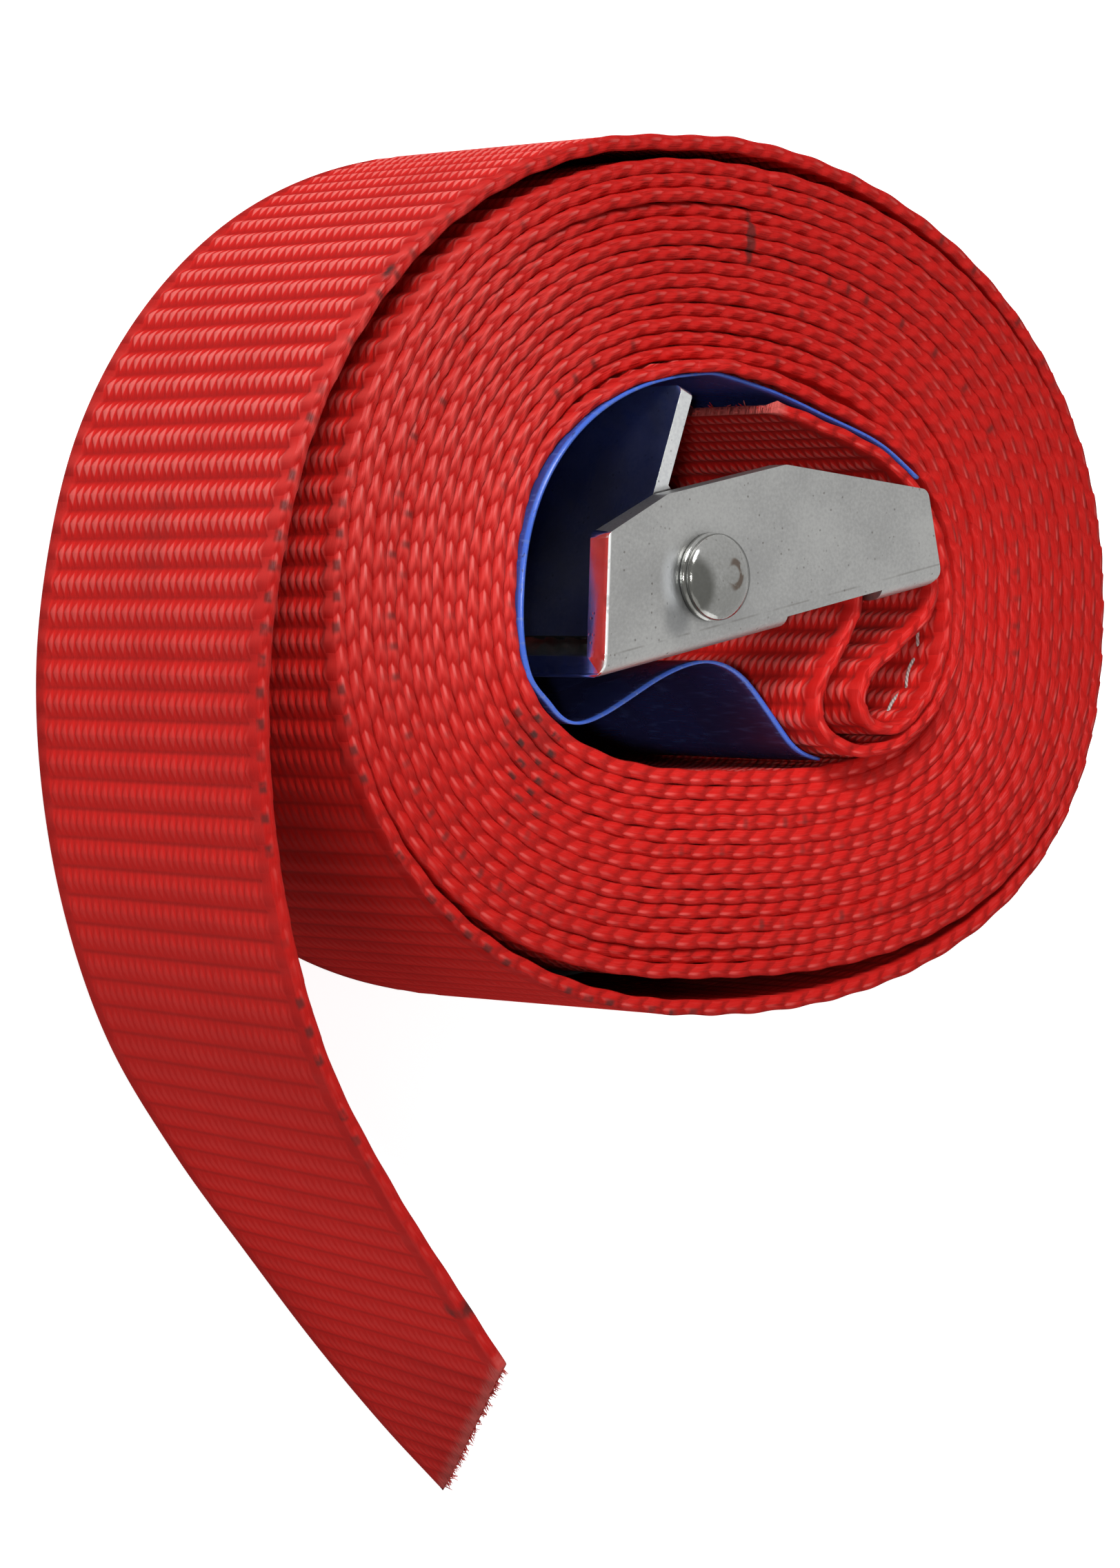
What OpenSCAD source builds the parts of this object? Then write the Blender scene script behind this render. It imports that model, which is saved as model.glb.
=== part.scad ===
// Cam-buckle lashing strap, wound into an oval roll and lying on its side.
// The roll's axis is +Z, the strap's lower edge lies on the plane z = 0, all sizes in millimetres.

/* [Webbing] */
// Width of the webbing
strap_w = 25; // [25:0.5:26]
// Thickness of one layer, thinner than the woven strap so that the laps stay apart
strap_t = 0.5; // [0.4:0.02:0.5]
// Laps in the tight part of the roll
laps = 15; // [15:1:15]
// Points along one lap
lap_points = 24; // [24:4:36]
// Length of the slanted cut along the tail
tail_cut = 21; // [10:1:24]

/* [Label] */
// Thickness of the label film
label_t = 0.2; // [0.15:0.05:0.3]
// Width of the label
label_w = 24.4; // [20:0.2:24.4]

/* [Seam] */
// Rows of stitches across the strap
seam_rows = 4; // [3:1:4]
// Length of one stitch
stitch_len = 3; // [2.5:0.1:4]
// Thickness of the thread
thread_d = 0.4; // [0.3:0.05:0.5]

/* [Buckle] */
// Thickness of the frame's sheet
sheet_t = 1.5; // [1.3:0.1:1.5]
// Clear width between the side plates
frame_inner_w = 25.6; // [25.6:0.1:26]
// Tilt of the buckle inside the roll
buckle_tilt = 12.3; // [10:0.1:14]
// Thickness of the lever's sheet
lever_t = 1.15; // [1:0.05:1.2]
// Overall width of the lever
lever_w = 24.8; // [24:0.2:24.8]
// Radius of the axle
axle_r = 1.5; // [1.3:0.1:1.6]
// Number of teeth along the cam's edge
cam_teeth = 12; // [8:1:14]
// Wire diameter of the cam spring
spring_wire = 0.6; // [0.5:0.1:0.7]

/* [Hidden] */

// Heights of the buckle: the lower rivet head stays just above the resting plane
rivet_foot_h = 0.7;
frame_z0 = rivet_foot_h + 0.05;
frame_w = frame_inner_w + 2 * sheet_t;
frame_z1 = frame_z0 + frame_w;
buckle_mid_z = frame_z0 + frame_w / 2;
loop_z = buckle_mid_z - strap_w / 2;

// The pivot is where the axle crosses the face of the roll
pivot = [-5, 0];

// Centre of the oval laps
roll_centre = [-0.5, -1.2];
// Reach of the first lap to the right, top, left and bottom, and its growth in one lap
reach_first = [23.46, 15.95, 18.96, 12.11];
reach_step = [1.243, 1.004, 1.079, 1.054];
// Squareness of the oval's four corners, from upper right round to lower right
corner_first = [2.3, 2.2, 2.65, 3.3];
corner_last = [2.1, 2.1, 2.3, 2.5];
// The wound part starts and ends at the top of the roll
wind_start = 95;
wind_end = 90 + 360 * laps;
// The last lap hangs loose at the bottom and at the top
loose_bottom = 1.65;
loose_bottom_at = 280;
loose_top = 0.85;
// The first lap comes down from the buckle's height to the resting plane
descent_end = 155;

// Route of the sewn end: its cut end, round the rear bar and up to the first lap
loop_route = [
    [3, 12.3], [8, 11.1], [13.5, 9.5], [17.5, 7.2], [20.4, 3.6], [21.6, -0.8], [21.1, -5],
    [19, -8.6], [16.2, -10.4], [13.6, -10.2], [12.2, -8.4], [13.2, -6.3], [16.4, -4.1], [19, -2.1],
    [19.9, -0.4], [19.5, 1.3], [18.2, 2.3], [15.3, 1.8], [12.7, 1.1], [11.8, -0.3], [11.7, -1.9],
    [10.6, -4], [9, -6.2], [7.9, -8.4], [8.4, -10.2], [10.3, -11.6], [13.4, -12.1], [16.8, -11.4],
    [20, -9.3], [22.2, -6.2], [23, -2.4], [22.6, 1.8], [21, 5.6], [18.2, 8.6], [14.2, 10.9],
    [9, 12.6], [3.5, 14.2]
];
loop_steps = 3;

// Route of the loose lap and the free tail, after the top of the roll
tail_route = [
    [-12.5, 29.6], [-23.4, 25.3], [-32, 18.2], [-37.9, 9], [-40.7, -2], [-40.9, -12], [-38.8, -22.6],
    [-34.6, -32.5], [-28.4, -40.9], [-21.6, -48.4], [-14.8, -55.6], [-8.2, -62], [-2.2, -67.3]
];
tail_steps = 4;
tail_tip_w = 0.5;

// Label: from the seam, along the first lap's inner face, then in a loose wave across the bore
label_gap = 0.6;
label_seam_route = [[17.7, 7.85], [13.8, 10.2], [8.6, 11.85], [3.3, 13.4]];
label_wave_route = [
    [-16.4, -8.95], [-15.5, -9.8], [-14.4, -10.3], [-13.1, -10.3], [-11.3, -9.75], [-9.3, -8.85],
    [-7.2, -7.85], [-5.1, -6.95], [-2.6, -6.2], [-0.3, -5.95], [1.9, -6.4], [3.7, -7.4], [6.3, -9.7],
    [8.8, -12], [11.5, -12.85]
];
label_hug_end = 212;
// The label stands a little above the first lap and sinks towards its free end, at first faster
label_rise = 0.9;
label_drop = 3.1;
label_ease = 1.5;

// Stitching: the part of the sewn end's length that it covers, and its distance from the edges
seam_from = 17;
seam_to = 38;
seam_edge = 2.5;
// Shares of a stitch where the thread leaves the weave, lies on it, and goes back in
stitch_shares = [0.05, 0.2, 0.8, 0.95];

// Frame outline, in the buckle's own directions: along the base and up from it, from the axle
base_v = -4.95;
frame_outline = [
    [-11.4, base_v], [23.4, base_v], [23.1, 2.1], [8.9, 6.4], [-3, 6.4], [-9.1, 4.75]
];
frame_corner_r = [0.3, 0.9, 0.8, 1.5, 1.5, 0.6];
bend_r = 1.4;
slot_u = [7.2, 17.15];
slot_recess = 0.75;
axle_fit = 0.05;

// Lever: middle line of the bent sheet, from the thumb end down to the teeth
lever_line = [[2.15, 13], [-4.2, 2.6], [-4.8, 1.45], [-6.9, -3]];
ear_t = 1.2;
ear_r = 2.4;
ear_outline = [[-1.3, 7.2], [-4.2, 2.5], [-4.8, 1.4], [-5.8, -0.8], [-1.5, -2], [2.1, 1.2]];
lever_z0 = buckle_mid_z - lever_w / 2;
tooth_depth = 0.8;
// Outer part of the cam's edge that the notches leave whole
tooth_rim = 0.45;
thumb_corner_r = 0.6;

// Rivet heads
head_r = 3.1;
head_rim_h = 1.1;
head_dome_h = 0.6;
head_edge = 0.1;
dimple_r = 0.7;
dimple_h = 0.2;
foot_r = 2.8;
foot_bevel = 0.5;

// Spring: coil on the axle with one leg on the base and one behind the thumb plate
coil_r = 2;
coil_turns = 5;
coil_pitch = 1.1;
curl_rings = 8;
wire_sides = 6;
foot_leg = [[5.2, -2.9], [1.6, -2.3]];
thumb_leg = [[-2.3, 2.6], [-1.1, 5.4]];

function unit(v) = v / norm(v);
function left_of(v) = [-v[1], v[0]];
function clamp01(x) = min(1, max(0, x));
function last(list) = list[len(list) - 1];

// Smooth curve through four points, between the second and the third
function curve_point(a, b, c, d, x) =
    0.5 * (2 * b + (c - a) * x + (2 * a - 5 * b + 4 * c - d) * x * x
           + (3 * b - a - 3 * c + d) * x * x * x);

// Smooth curve through all points of a route
function curve(route, steps) = let (n = len(route)) [
    for (i = [0 : n - 2])
        let (before = i > 0 ? route[i - 1] : 2 * route[0] - route[1],
             after = i < n - 2 ? route[i + 2] : 2 * route[n - 1] - route[n - 2])
            for (k = [0 : steps - 1])
                curve_point(before, route[i], route[i + 1], after, k / steps),
    last(route)
];

// Distance from the middle of the roll at a winding angle, counted on from lap to lap
function lap_radius(angle) =
    let (turn = angle / 360,
         q = floor((angle % 360) / 90),
         a = reach_first[q == 0 || q == 3 ? 0 : 2] + turn * reach_step[q == 0 || q == 3 ? 0 : 2],
         b = reach_first[q < 2 ? 1 : 3] + turn * reach_step[q < 2 ? 1 : 3],
         e = corner_first[q] + (corner_last[q] - corner_first[q]) * turn / laps)
        pow(pow(abs(cos(angle)) / a, e) + pow(abs(sin(angle)) / b, e), -1 / e);

// Extra reach of the loose last lap
function slack(angle) =
    let (low = angle - (loose_bottom_at + 360 * (laps - 1)), high = angle - 360 * laps)
        (abs(low) < 90 ? loose_bottom * pow(cos(low), 2) : 0)
        + (high > 0 ? loose_top * pow(sin(high), 2) : 0);

function lap_point(angle, inward = 0) =
    roll_centre + (lap_radius(angle) + slack(angle) - inward) * [cos(angle), sin(angle)];

lap_angle = 360 / lap_points;
wind_angles = [for (angle = [wind_start : lap_angle : wind_end]) angle];
loop_path = curve(concat(loop_route, [lap_point(wind_start)]), loop_steps);
wind_path = [for (angle = wind_angles) lap_point(angle)];
tail_path = curve(concat([last(wind_path)], tail_route), tail_steps);
strap_path = concat([for (i = [0 : len(loop_path) - 2]) loop_path[i]], wind_path,
                    [for (i = [1 : len(tail_path) - 1]) tail_path[i]]);
loop_n = len(loop_path) - 1;

// Length along a path at each of its points
function lengths(path) = [
    for (i = 0, s = 0; i < len(path); i = i + 1, s = s + norm(path[min(i, len(path) - 1)] - path[i - 1])) s
];

strap_s = lengths(strap_path);
strap_len = last(strap_s);

// Lower and upper edge of the strap at each point
function strap_low(i) =
    let (k = min(max(i - loop_n, 0), len(wind_angles) - 1))
        loop_z * (1 - clamp01((wind_angles[k] - wind_start) / (descent_end - wind_start)));
function strap_high(i) =
    strap_low(i) + strap_w
    - (strap_w - tail_tip_w) * clamp01((strap_s[i] - strap_len + tail_cut) / tail_cut);

// Direction across a path at one of its points
function across(path, i) =
    left_of(unit(path[min(i + 1, len(path) - 1)] - path[max(i - 1, 0)]));

// Flat band that stands on its edge along a path
module band(path, thick, low, high) {
    n = len(path);
    points = [
        for (i = [0 : n - 1])
            let (side = across(path, i) * thick / 2)
                each [[path[i][0] - side[0], path[i][1] - side[1], low[i]],
                      [path[i][0] + side[0], path[i][1] + side[1], low[i]],
                      [path[i][0] + side[0], path[i][1] + side[1], high[i]],
                      [path[i][0] - side[0], path[i][1] - side[1], high[i]]]
    ];
    faces = [
        [0, 1, 2], [0, 2, 3],
        for (i = [0 : n - 2], k = [0 : 3])
            let (a = 4 * i + k, b = 4 * i + (k + 1) % 4)
                each [[a, a + 4, b], [b, a + 4, b + 4]],
        [4 * n - 4, 4 * n - 2, 4 * n - 3], [4 * n - 4, 4 * n - 1, 4 * n - 2]
    ];
    polyhedron(points, faces);
}

// Least gap of the strap to itself, between points and stretches that are not neighbours
function stretch_gap(p, a, b) =
    let (x = clamp01((p - a) * (b - a) / ((b - a) * (b - a)))) norm(p - a - x * (b - a));
near_len = 6;
reach_len = 16;
strap_gap = min([
    for (i = [0 : len(strap_path) - 1], j = [0 : len(strap_path) - 2])
        if (strap_s[j] - strap_s[i] > near_len
            && norm(strap_path[i] - strap_path[j]) < reach_len)
            stretch_gap(strap_path[i], strap_path[j], strap_path[j + 1]) - strap_t
]);
echo(strap_length = strap_len, least_strap_gap = strap_gap);

// The part is centred on its bounding box
strap_faces = [
    for (i = [0 : len(strap_path) - 1], side = [-1, 1])
        strap_path[i] + side * across(strap_path, i) * strap_t / 2
];
xs = [for (p = strap_faces) p[0]];
ys = [for (p = strap_faces) p[1]];
box_mid = [(min(xs) + max(xs)) / 2, (min(ys) + max(ys)) / 2];
echo(box_mid = box_mid);

module centred() {
    translate([-box_mid[0], -box_mid[1], 0])
        children();
}

module seat_buckle() {
    centred()
        translate([pivot[0], pivot[1], 0])
            rotate(buckle_tilt)
                children();
}

module webbing() {
    color([0.78, 0.13, 0.12])
        centred()
            band(strap_path, strap_t,
                 [for (i = [0 : len(strap_path) - 1]) strap_low(i)],
                 [for (i = [0 : len(strap_path) - 1]) strap_high(i)]);
}

label_path = concat(
    curve(concat(label_seam_route, [lap_point(wind_start, label_gap)]), loop_steps),
    [for (angle = [wind_start + lap_angle : lap_angle : label_hug_end]) lap_point(angle, label_gap)],
    curve(label_wave_route, loop_steps)
);
label_s = lengths(label_path);

module label() {
    low = [for (s = label_s)
        loop_z + label_rise - label_drop * (1 - pow(1 - s / last(label_s), label_ease))];
    color([0.16, 0.3, 0.72])
        centred()
            band(label_path, label_t, low, [for (z = low) z + label_w]);
}

// One row of stitches on the inner face of the sewn end: long floats with short dips
seam_path = [for (i = [0 : loop_n - 1]) if (strap_s[i] > seam_from && strap_s[i] < seam_to) loop_path[i]];
float_offset = (strap_t + thread_d) / 2;
dip_offset = strap_t / 2;

module seam_row(row) {
    z = loop_z + seam_edge + (row - 1) * (strap_w - 2 * seam_edge) / (seam_rows - 1);
    s_list = lengths(seam_path);
    stitches = floor(last(s_list) / stitch_len);
    thread = [
        for (k = [0 : stitches - 1], part = [0 : 3])
            let (s = (k + stitch_shares[part]) * stitch_len,
                 i = max([for (m = [0 : len(seam_path) - 2]) if (s_list[m] <= s) m]),
                 x = (s - s_list[i]) / (s_list[i + 1] - s_list[i]),
                 p = seam_path[i] * (1 - x) + seam_path[i + 1] * x,
                 inward = -left_of(unit(seam_path[i + 1] - seam_path[i])))
                p + inward * (part == 0 || part == 3 ? dip_offset : float_offset)
    ];
    color([0.8, 0.78, 0.76])
        centred()
            band(thread, thread_d, [for (p = thread) z], [for (p = thread) z + thread_d]);
}

// Corner of an outline rounded to an arc
function corner_arc(p, before, after, r, n = 5) =
    let (u = unit(before - p),
         w = unit(after - p),
         half = acos(u * w) / 2,
         centre = p + unit(u + w) * r / sin(half),
         start = p + u * r / tan(half),
         end = p + w * r / tan(half))
        [for (i = [0 : n]) centre + r * unit(start + (end - start) * i / n - centre)];

function rounded(outline, radii) =
    let (n = len(outline))
        [for (i = [0 : n - 1])
            each corner_arc(outline[i], outline[(i + n - 1) % n], outline[(i + 1) % n], radii[i])];

// Section of the frame's channel: up from the base, and across the buckle
module channel_section() {
    height = 12;
    difference() {
        translate([base_v, frame_z0])
            square([height, frame_w]);
        translate([base_v + sheet_t, frame_z0 + sheet_t])
            square([height, frame_inner_w]);
        for (side = [0, 1])
            translate([base_v, side * (frame_z0 + frame_z1)])
                mirror([0, side])
                    translate([0, frame_z0])
                        difference() {
                            square(bend_r);
                            translate([bend_r, bend_r])
                                circle(r = bend_r, $fn = 48);
                        }
    }
}

module buckle_frame() {
    length = 50;
    color([0.68, 0.69, 0.68])
        seat_buckle()
            difference() {
                intersection() {
                    translate([0, 0, frame_z0])
                        linear_extrude(frame_w)
                            polygon(rounded(frame_outline, frame_corner_r));
                    translate([-length / 2, 0, 0])
                        rotate([90, 0, 90])
                            linear_extrude(length)
                                channel_section();
                }
                translate([slot_u[0], base_v - 1, frame_z0 - 1])
                    cube([slot_u[1] - slot_u[0], 1 + slot_recess, frame_w + 2]);
                translate([slot_u[0], base_v - 1, frame_z0 + sheet_t])
                    cube([slot_u[1] - slot_u[0], 1 + 2 * sheet_t, frame_inner_w]);
                translate([0, 0, frame_z0 - 1])
                    cylinder(r = axle_r + axle_fit, h = frame_w + 2, $fn = 48);
            }
}

// Outline of a bent sheet of even thickness round its middle line
function sheet_outline(line, thick) =
    let (n = len(line),
         side = [for (i = [0 : n - 1])
             let (u = unit(line[min(i + 1, n - 1)] - line[max(i - 1, 0)])) left_of(u) * thick / 2])
        concat([for (i = [0 : n - 1]) line[i] + side[i]],
               [for (i = [n - 1 : -1 : 0]) line[i] - side[i]]);

// Cutters for the two rounded corners at the thumb end
module thumb_corners() {
    tip = lever_line[0];
    along = lever_line[1] - tip;
    for (side = [0, 1])
        translate([tip[0], tip[1], buckle_mid_z])
            rotate(atan2(along[1], along[0]))
                mirror([0, 0, side])
                    translate([0, 0, lever_w / 2])
                        rotate([90, 0, 0])
                            linear_extrude(4 * lever_t, center = true)
                                difference() {
                                    translate([-1, -thumb_corner_r])
                                        square(1 + thumb_corner_r);
                                    translate([thumb_corner_r, -thumb_corner_r])
                                        circle(r = thumb_corner_r, $fn = 32);
                                }
}

module cam_lever() {
    edge = last(lever_line);
    edge_dir = unit(edge - lever_line[len(lever_line) - 2]);
    pitch = lever_w / cam_teeth;
    color([0.74, 0.75, 0.75])
        seat_buckle()
            difference() {
                union() {
                    translate([0, 0, lever_z0])
                        linear_extrude(lever_w)
                            polygon(sheet_outline(lever_line, lever_t));
                    for (z = [lever_z0, lever_z0 + lever_w - ear_t])
                        translate([0, 0, z])
                            linear_extrude(ear_t) {
                                polygon(ear_outline);
                                circle(r = ear_r, $fn = 64);
                            }
                }
                translate([0, 0, lever_z0 - 1])
                    cylinder(r = axle_r + axle_fit, h = lever_w + 2, $fn = 48);
                thumb_corners();
                for (i = [0 : cam_teeth])
                    translate([edge[0], edge[1], lever_z0 + i * pitch])
                        rotate(atan2(edge_dir[1], edge_dir[0]))
                            rotate([90, 0, 0])
                                translate([0, 0, -2 * lever_t])
                                    cylinder(r = tooth_depth, h = 2.5 * lever_t - tooth_rim, $fn = 4);
            }
}

module axle_rivet() {
    steps = 6;
    edge_r = head_r - head_edge;
    dome = [for (i = [0 : steps]) let (r = edge_r - i * (edge_r - dimple_r) / steps)
        [r, frame_z1 + head_rim_h + head_dome_h * (1 - pow(r / head_r, 2))]];
    top = last(dome)[1];
    color([0.85, 0.85, 0.86])
        seat_buckle()
            rotate_extrude($fn = 64)
                polygon(concat(
                    [[0, frame_z0 - rivet_foot_h], [foot_r - foot_bevel, frame_z0 - rivet_foot_h],
                     [foot_r, frame_z0 - rivet_foot_h / 2], [foot_r, frame_z0], [axle_r, frame_z0],
                     [axle_r, frame_z1], [head_r, frame_z1], [head_r, frame_z1 + head_rim_h]],
                    dome,
                    [[0, top - dimple_h]]));
}

// Round wire along a route in space
module wire(route) {
    n = len(route);
    points = [
        for (i = [0 : n - 1])
            let (u = unit(route[min(i + 1, n - 1)] - route[max(i - 1, 0)]),
                 a = unit(cross(u, [0, 0, 1])),
                 b = cross(u, a))
                for (k = [0 : wire_sides - 1])
                    let (turn = 360 * k / wire_sides)
                        route[i] + spring_wire / 2 * (a * cos(turn) + b * sin(turn))
    ];
    faces = [
        [for (k = [0 : wire_sides - 1]) k],
        for (i = [0 : n - 2], k = [0 : wire_sides - 1])
            let (a = wire_sides * i + k, b = wire_sides * i + (k + 1) % wire_sides)
                each [[a, a + wire_sides, b], [b, a + wire_sides, b + wire_sides]],
        [for (k = [wire_sides - 1 : -1 : 0]) wire_sides * (n - 1) + k]
    ];
    polyhedron(points, faces);
}

module cam_spring() {
    z0 = buckle_mid_z - coil_turns * coil_pitch / 2;
    coil_from = 270;
    coil_to = coil_from - 360 * (coil_turns - 0.75);
    steps = curl_rings * coil_turns;
    coil = [for (i = [0 : steps])
        let (angle = coil_from + (coil_to - coil_from) * i / steps)
            [coil_r * cos(angle), coil_r * sin(angle), z0 + coil_pitch * coil_turns * i / steps]];
    z1 = last(coil)[2];
    color([0.55, 0.56, 0.58])
        seat_buckle()
            wire(concat([for (p = foot_leg) [p[0], p[1], z0]], coil,
                        [for (p = thumb_leg) [p[0], p[1], z1]]));
}

webbing();
label();
seam_row(1);  // seam_row_1
seam_row(2);  // seam_row_2
seam_row(3);  // seam_row_3
seam_row(4);  // seam_row_4
buckle_frame();
cam_lever();
axle_rivet();
cam_spring();
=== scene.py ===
import math
import random

import bmesh
import bpy
import numpy as np
from mathutils import Matrix, Vector


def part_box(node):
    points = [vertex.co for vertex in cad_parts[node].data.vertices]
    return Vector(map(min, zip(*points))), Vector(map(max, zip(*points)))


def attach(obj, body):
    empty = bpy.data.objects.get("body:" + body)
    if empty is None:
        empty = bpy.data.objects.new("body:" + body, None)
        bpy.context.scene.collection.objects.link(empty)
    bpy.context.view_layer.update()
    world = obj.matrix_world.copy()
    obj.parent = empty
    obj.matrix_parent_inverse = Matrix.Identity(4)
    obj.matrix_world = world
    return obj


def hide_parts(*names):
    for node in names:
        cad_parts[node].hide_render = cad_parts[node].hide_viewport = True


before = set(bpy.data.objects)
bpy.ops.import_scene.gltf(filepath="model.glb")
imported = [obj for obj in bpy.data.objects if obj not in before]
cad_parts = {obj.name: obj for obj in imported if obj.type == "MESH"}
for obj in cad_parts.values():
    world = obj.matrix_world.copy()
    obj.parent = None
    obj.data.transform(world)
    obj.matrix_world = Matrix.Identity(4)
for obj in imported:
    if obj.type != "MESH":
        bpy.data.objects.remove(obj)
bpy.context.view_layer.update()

# Camera: it stands left of the roll and above it and looks down at the roll's face, with the
# picture's top towards +Y. The long lens keeps the strap's two edges almost parallel.
MM = 0.001
AXLE_ON_FACE = Vector((-5.0, 0.0))
SENSOR_H = 24.0
PICTURE_ROWS = 2274
FOCAL_ROWS = 7379.62
rivet_low, rivet_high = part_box("axle_rivet")
face_zero = (rivet_low.xy + rivet_high.xy) / 2 - AXLE_ON_FACE * MM
camera_right = Vector((0.72803, 0.01819, 0.68531))
camera_up = Vector((0.0, 0.99965, -0.02653))
camera_back = camera_right.cross(camera_up)
camera_place = Vector((-255.686, -7.757, 280.552)) * MM + face_zero.to_3d()
camera_data = bpy.data.cameras.new("camera")
camera_data.sensor_fit = "VERTICAL"
camera_data.sensor_height = SENSOR_H
camera_data.lens = SENSOR_H * FOCAL_ROWS / PICTURE_ROWS
camera_data.clip_start = 0.01
camera_data.clip_end = 20.0
camera = bpy.data.objects.new("camera", camera_data)
turn = Matrix((camera_right, camera_up, camera_back)).transposed().to_4x4()
camera.matrix_world = Matrix.Translation(camera_place) @ turn
bpy.context.scene.collection.objects.link(camera)
bpy.context.scene.camera = camera
bpy.context.scene.view_settings.view_transform = "Standard"


# Studio: a wide pale floor that the roll lies on, painted dark under the roll as shade, a soft lamp above
# the camera, two weak ones below it, a narrow one beside it for the bore, and an even pale surround.
def add_node(tree, kind, inputs=None, **settings):
    made = tree.nodes.new(kind)
    for name, value in settings.items():
        setattr(made, name, value)
    for name, value in (inputs or {}).items():
        if isinstance(value, bpy.types.NodeSocket):
            tree.links.new(value, made.inputs[name])
        else:
            made.inputs[name].default_value = value
    return made


def empty_tree(owner):
    owner.use_nodes = True
    owner.node_tree.nodes.clear()
    return owner.node_tree


def new_material(name):
    material = bpy.data.materials.new(name)
    return material, empty_tree(material)


def object_place(tree):
    return add_node(tree, "ShaderNodeTexCoord").outputs["Object"]


def maths(tree, operation, a, b=0.0, c=0.0, clamp=False):
    made = add_node(tree, "ShaderNodeMath", {0: a, 1: b, 2: c}, operation=operation, use_clamp=clamp)
    return made.outputs[0]


def ramp(tree, value, low, high, to_low=0.0, to_high=1.0):
    made = add_node(tree, "ShaderNodeMapRange", {"Value": value, "From Min": low, "From Max": high,
                                                  "To Min": to_low, "To Max": to_high},
                    interpolation_type="SMOOTHSTEP")
    return made.outputs[0]


def distance_to(tree, at, place, reach):
    """Distance of a point from a place in mm on the roll's face, each direction divided by its reach."""
    centre = [(p * MM + z) * 1000 / r for p, z, r in zip(place, face_zero.to_3d(), reach)]
    scaled = add_node(tree, "ShaderNodeVectorMath", {0: at, 1: [1000 / r for r in reach]},
                      operation="MULTIPLY")
    apart = add_node(tree, "ShaderNodeVectorMath", {0: scaled.outputs[0], 1: centre},
                     operation="DISTANCE")
    return apart.outputs["Value"]


def seen_directly(tree):
    path = add_node(tree, "ShaderNodeLightPath")
    mirrored = maths(tree, "MAXIMUM", path.outputs["Is Glossy Ray"], path.outputs["Is Transmission Ray"])
    return maths(tree, "MAXIMUM", path.outputs["Is Camera Ray"], mirrored)


FLOOR_DROP = 0.2
FLOOR_HALF = 3.0
floor_mesh = bpy.data.meshes.new("floor")
shape = bmesh.new()
bmesh.ops.create_grid(shape, x_segments=1, y_segments=1, size=FLOOR_HALF)
shape.to_mesh(floor_mesh)
shape.free()
floor = bpy.data.objects.new("floor", floor_mesh)
floor.location.z = -FLOOR_DROP * MM
bpy.context.scene.collection.objects.link(floor)
floor_paint, tree = new_material("floor_paper")
at = object_place(tree)
under_roll = distance_to(tree, at, (5.0, 0.0, 0.0), (34.5, 31.0, 100.0))
open_floor = ramp(tree, under_roll, 0.985, 1.0, 0.0, 0.88)
# Painted shade: the paper's own colour is dark under the roll, and its glow is taken away there too.
shaded_paper_tone = ramp(tree, under_roll, 0.985, 1.0, 0.04, 0.7)
paper_colour = add_node(tree, "ShaderNodeCombineColor",
                        {0: shaded_paper_tone, 1: shaded_paper_tone, 2: shaded_paper_tone}).outputs[0]
paper = add_node(tree, "ShaderNodeBsdfDiffuse", {"Color": paper_colour})
glow = add_node(tree, "ShaderNodeEmission",
                {"Strength": maths(tree, "MULTIPLY", seen_directly(tree), open_floor)})
both = add_node(tree, "ShaderNodeAddShader", {0: paper.outputs[0], 1: glow.outputs[0]})
add_node(tree, "ShaderNodeOutputMaterial", {"Surface": both.outputs[0]})
floor_mesh.materials.append(floor_paint)

world = bpy.data.worlds.new("surround")
bpy.context.scene.world = world
tree = empty_tree(world)
SURROUND_LIGHT = 0.18
strength = maths(tree, "MULTIPLY_ADD", seen_directly(tree), 1.0 - SURROUND_LIGHT, SURROUND_LIGHT)
air = add_node(tree, "ShaderNodeBackground", {"Color": (1.0, 1.0, 1.0, 1.0), "Strength": strength})
add_node(tree, "ShaderNodeOutputWorld", {"Surface": air.outputs[0]})
LAMP_AIM = Vector((0.0, 0.01, 0.01))


def soft_lamp(name, place, size, power):
    data = bpy.data.lights.new(name, "AREA")
    data.shape = "DISK"
    data.size = size
    data.energy = power
    lamp = bpy.data.objects.new(name, data)
    lamp.location = place
    lamp.rotation_euler = (LAMP_AIM - Vector(place)).to_track_quat("-Z", "Y").to_euler()
    bpy.context.scene.collection.objects.link(lamp)


soft_lamp("key_lamp", (-0.24, 0.36, 0.36), 0.21, 2.85)
soft_lamp("fill_lamp", (-0.45, -0.85, 0.35), 0.9, 2.0)
soft_lamp("low_lamp", (0.28, -0.92, 0.22), 0.8, 2.6)
bore_data = bpy.data.lights.new("bore_lamp", "SPOT")
bore_data.energy = 9.0
bore_data.spot_size = math.radians(4.6)
bore_data.spot_blend = 0.9
bore_data.shadow_soft_size = 0.02
bore_lamp = bpy.data.objects.new("bore_lamp", bore_data)
bore_lamp.location = Vector((-0.29, -0.02, 0.30)) + face_zero.to_3d()
bore_aim = Vector((0.013, -0.006, 0.016)) + face_zero.to_3d() - bore_lamp.location
bore_lamp.rotation_euler = bore_aim.to_track_quat("-Z", "Y").to_euler()
bpy.context.scene.collection.objects.link(bore_lamp)


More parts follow.
